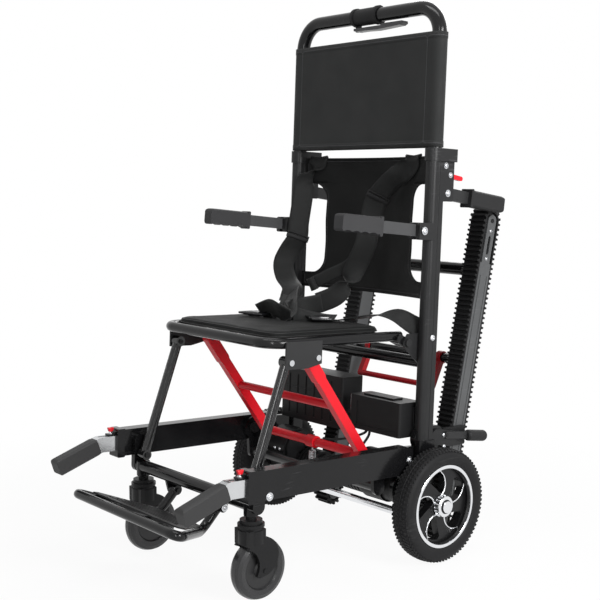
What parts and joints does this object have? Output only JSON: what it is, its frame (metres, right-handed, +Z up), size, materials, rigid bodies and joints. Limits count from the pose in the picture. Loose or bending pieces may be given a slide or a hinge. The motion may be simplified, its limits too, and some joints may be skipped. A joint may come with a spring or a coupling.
{
  "type": "stair climbing wheelchair",
  "caption": "Powered stair climbing transport chair with lugged crawler tracks behind, folding seat and rails, telescopic push handle, flip-up armrests, carry handles and swivel casters.",
  "frame": {"origin": "on the floor under the centre of the box round the whole chair", "axes": "+Z up, -Y to the chair's front, +X to the sitter's left"},
  "size_m": [0.618, 0.941, 1.2324],
  "materials": {
    "satin_grey": "satin",
    "black_paint": "gloss",
    "black_plastic": "satin",
    "cloth": "woven",
    "tyre": "matte",
    "belt_rubber": "matte",
    "grip_rubber": "satin",
    "alloy": "satin",
    "bright_steel": "polished",
    "red_paint": "gloss",
    "lead_rubber": "matte"
  },
  "bodies": {
    "back_frame": {"posts": "satin_grey", "foot_frames": "black_paint", "post_heads": "black_plastic", "arm_brackets": "satin_grey", "back_cross_tube": "black_paint", "seat_gussets": "satin_grey", "pivot_pins": "bright_steel", "base_tubes": "bright_steel", "drive_units": "black_plastic", "control_case": "black_plastic", "battery_case": "black_plastic", "axle_stubs": "bright_steel", "back_sling": "cloth", "shoulder_straps": "cloth", "waist_strap": "cloth", "motor_leads": "lead_rubber"},
    "push_handle": {"push_handle": "black_paint", "handle_sleeve": "black_plastic", "head_panel": "cloth"},
    "release_lever": {"release_lever": "black_plastic"},
    "battery_latch": {"battery_latch": "bright_steel"},
    "crawler": {"track_channels": "satin_grey", "track_belts": "belt_rubber", "track_tubes": "black_paint", "crawler_arms": "satin_grey"},
    "crawler_lever": {"crawler_lever": "grip_rubber"},
    "release_bar": {"release_bar": "red_paint"},
    "rail_base": {"rails": "black_paint", "front_cross": "black_paint"},
    "footrest": {"footrest_frame": "black_paint", "footplate": "black_plastic"},
    "seat": {"seat_frame": "black_paint", "seat_brackets": "satin_grey", "seat_cushion": "cloth", "belt_pile": "cloth"},
    "front_legs": {"front_legs": "black_paint"},
    "brace": {"brace_frame": "red_paint", "brace_spring": "bright_steel"},
    "rear_wheel_left": {"tyre_left": "tyre", "rim_left": "alloy"},
    "armrest_left": {"armrest_left": "grip_rubber"},
    "rear_handle_left": {"rear_handle_left": "grip_rubber"},
    "catch_left": {"catch_left": "red_paint"},
    "pulley_low_left": {"pulley_low_left": "alloy"},
    "pulley_top_left": {"pulley_top_left": "alloy"},
    "carry_handle_left": {"carry_handle_left": "alloy"},
    "lock_pin_left": {"lock_pin_left": "red_paint"},
    "caster_fork_left": {"caster_fork_left": "black_plastic"},
    "caster_wheel_left": {"caster_wheel_left": "tyre"},
    "rear_wheel_right": {"tyre_right": "tyre", "rim_right": "alloy"},
    "armrest_right": {"armrest_right": "grip_rubber"},
    "rear_handle_right": {"rear_handle_right": "grip_rubber"},
    "catch_right": {"catch_right": "red_paint"},
    "pulley_low_right": {"pulley_low_right": "alloy"},
    "pulley_top_right": {"pulley_top_right": "alloy"},
    "carry_handle_right": {"carry_handle_right": "alloy"},
    "lock_pin_right": {"lock_pin_right": "red_paint"},
    "caster_fork_right": {"caster_fork_right": "black_plastic"},
    "caster_wheel_right": {"caster_wheel_right": "tyre"}
  },
  "joints": [
    {"name": "base_fold", "type": "hinge", "parent": "back_frame", "child": "rail_base", "pos_m": [0, 0.05803, 0.23384], "axis": [-1, 0, 0], "range_deg": [0, 70]},
    {"name": "seat_fold", "type": "hinge", "parent": "back_frame", "child": "seat", "pos_m": [0, 0.15238, 0.48181], "axis": [-1, 0, 0], "range_deg": [0, 70], "deforming": ["shoulder_straps", "waist_strap"]},
    {"name": "leg_fold", "type": "hinge", "parent": "rail_base", "child": "front_legs", "pos_m": [0, -0.26977, 0.2237], "axis": [-1, 0, 0], "range_deg": [-70, 0]},
    {"name": "brace_swing", "type": "hinge", "parent": "seat", "child": "brace", "pos_m": [0, -0.1037, 0.47492], "axis": [1, 0, 0], "range_deg": [0, 34]},
    {"name": "handle_slide", "type": "slide", "parent": "back_frame", "child": "push_handle", "axis": [0, 0.0454, 0.999], "range_m": [0, 0.25]},
    {"name": "handle_release", "type": "hinge", "parent": "push_handle", "child": "release_lever", "pos_m": [-0.03, 0.23226, 1.18291], "axis": [0, -0.999, 0.0454], "range_deg": [0, 2], "stiffness_Nm_per_rad": 20, "springref_deg": -1.15},
    {"name": "latch_turn", "type": "hinge", "parent": "back_frame", "child": "battery_latch", "pos_m": [0.0436, 0.15229, 0.30363], "axis": [0, -0.999, 0.0454], "range_deg": [0, 30]},
    {"name": "crawler_swing", "type": "hinge", "parent": "back_frame", "child": "crawler", "pos_m": [0, 0.23248, 0.26195], "axis": [-1, 0, 0], "range_deg": [-6, 18]},
    {"name": "crawler_lever_turn", "type": "hinge", "parent": "crawler", "child": "crawler_lever", "pos_m": [0.235, 0.26155, 0.26264], "axis": [1, 0, 0], "range_deg": [-20, 8]},
    {"name": "release_bar_turn", "type": "hinge", "parent": "crawler", "child": "release_bar", "pos_m": [0, 0.36687, 0.4154], "axis": [1, 0, 0], "range_deg": [0, 18]},
    {"name": "footrest_fold", "type": "hinge", "parent": "rail_base", "child": "footrest", "pos_m": [0, -0.26336, 0.16635], "axis": [-1, 0, 0], "range_deg": [0, 40]},
    {"name": "wheel_spin_left", "type": "hinge", "parent": "back_frame", "child": "rear_wheel_left", "pos_m": [0.281, 0.18431, 0.127], "axis": [1, 0, 0], "continuous": true},
    {"name": "armrest_flip_left", "type": "hinge", "parent": "back_frame", "child": "armrest_left", "pos_m": [0.225, 0.17051, 0.72684], "axis": [-1, 0, 0], "range_deg": [0, 85]},
    {"name": "rear_handle_fold_left", "type": "hinge", "parent": "back_frame", "child": "rear_handle_left", "pos_m": [0.225, 0.25121, 0.80666], "axis": [1, 0, 0], "range_deg": [-78, 0]},
    {"name": "catch_turn_left", "type": "hinge", "parent": "back_frame", "child": "catch_left", "pos_m": [0.225, 0.25902, 0.84635], "axis": [1, 0, 0], "range_deg": [0, 14], "stiffness_Nm_per_rad": 0.4, "springref_deg": -5.73},
    {"name": "pulley_low_spin_left", "type": "hinge", "parent": "crawler", "child": "pulley_low_left", "pos_m": [0.185, 0.28089, 0.03603], "axis": [1, 0, 0], "continuous": true},
    {"name": "pulley_top_spin_left", "type": "hinge", "parent": "crawler", "child": "pulley_top_left", "pos_m": [0.185, 0.44047, 0.74017], "axis": [1, 0, 0], "continuous": true},
    {"name": "carry_slide_left", "type": "slide", "parent": "rail_base", "child": "carry_handle_left", "axis": [0, -0.999, 0.0454], "range_m": [-0.024, 0.12]},
    {"name": "pin_lift_left", "type": "slide", "parent": "rail_base", "child": "lock_pin_left", "axis": [0, 0.0454, 0.999], "range_m": [0, 0.009], "stiffness_N_per_m": 800, "springref_m": -0.004},
    {"name": "caster_swivel_left", "type": "hinge", "parent": "rail_base", "child": "caster_fork_left", "pos_m": [0.196, -0.27069, 0.17], "axis": [0, 0, 1], "continuous": true},
    {"name": "caster_spin_left", "type": "hinge", "parent": "caster_fork_left", "child": "caster_wheel_left", "pos_m": [0.196, -0.25369, 0.063], "axis": [1, 0, 0], "continuous": true},
    {"name": "wheel_spin_right", "type": "hinge", "parent": "back_frame", "child": "rear_wheel_right", "pos_m": [-0.281, 0.18431, 0.127], "axis": [1, 0, 0], "continuous": true},
    {"name": "armrest_flip_right", "type": "hinge", "parent": "back_frame", "child": "armrest_right", "pos_m": [-0.225, 0.17051, 0.72684], "axis": [-1, 0, 0], "range_deg": [0, 85]},
    {"name": "rear_handle_fold_right", "type": "hinge", "parent": "back_frame", "child": "rear_handle_right", "pos_m": [-0.225, 0.25121, 0.80666], "axis": [1, 0, 0], "range_deg": [-78, 0]},
    {"name": "catch_turn_right", "type": "hinge", "parent": "back_frame", "child": "catch_right", "pos_m": [-0.225, 0.25902, 0.84635], "axis": [1, 0, 0], "range_deg": [0, 14], "stiffness_Nm_per_rad": 0.4, "springref_deg": -5.73},
    {"name": "pulley_low_spin_right", "type": "hinge", "parent": "crawler", "child": "pulley_low_right", "pos_m": [-0.185, 0.28089, 0.03603], "axis": [1, 0, 0], "continuous": true},
    {"name": "pulley_top_spin_right", "type": "hinge", "parent": "crawler", "child": "pulley_top_right", "pos_m": [-0.185, 0.44047, 0.74017], "axis": [1, 0, 0], "continuous": true},
    {"name": "carry_slide_right", "type": "slide", "parent": "rail_base", "child": "carry_handle_right", "axis": [0, -0.999, 0.0454], "range_m": [-0.024, 0.12]},
    {"name": "pin_lift_right", "type": "slide", "parent": "rail_base", "child": "lock_pin_right", "axis": [0, 0.0454, 0.999], "range_m": [0, 0.009], "stiffness_N_per_m": 800, "springref_m": -0.004},
    {"name": "caster_swivel_right", "type": "hinge", "parent": "rail_base", "child": "caster_fork_right", "pos_m": [-0.196, -0.27069, 0.17], "axis": [0, 0, 1], "continuous": true},
    {"name": "caster_spin_right", "type": "hinge", "parent": "caster_fork_right", "child": "caster_wheel_right", "pos_m": [-0.196, -0.25369, 0.063], "axis": [1, 0, 0], "continuous": true}
  ],
  "couplings": [
    {"joint": "seat_fold", "follows": "base_fold", "ratio": 1},
    {"joint": "leg_fold", "follows": "base_fold", "ratio": -1},
    {"joint": "brace_swing", "follows": "base_fold", "ratio": 0.48},
    {"joint": "pulley_top_spin_left", "follows": "pulley_low_spin_left", "ratio": 1},
    {"joint": "pulley_top_spin_right", "follows": "pulley_low_spin_right", "ratio": 1}
  ]
}
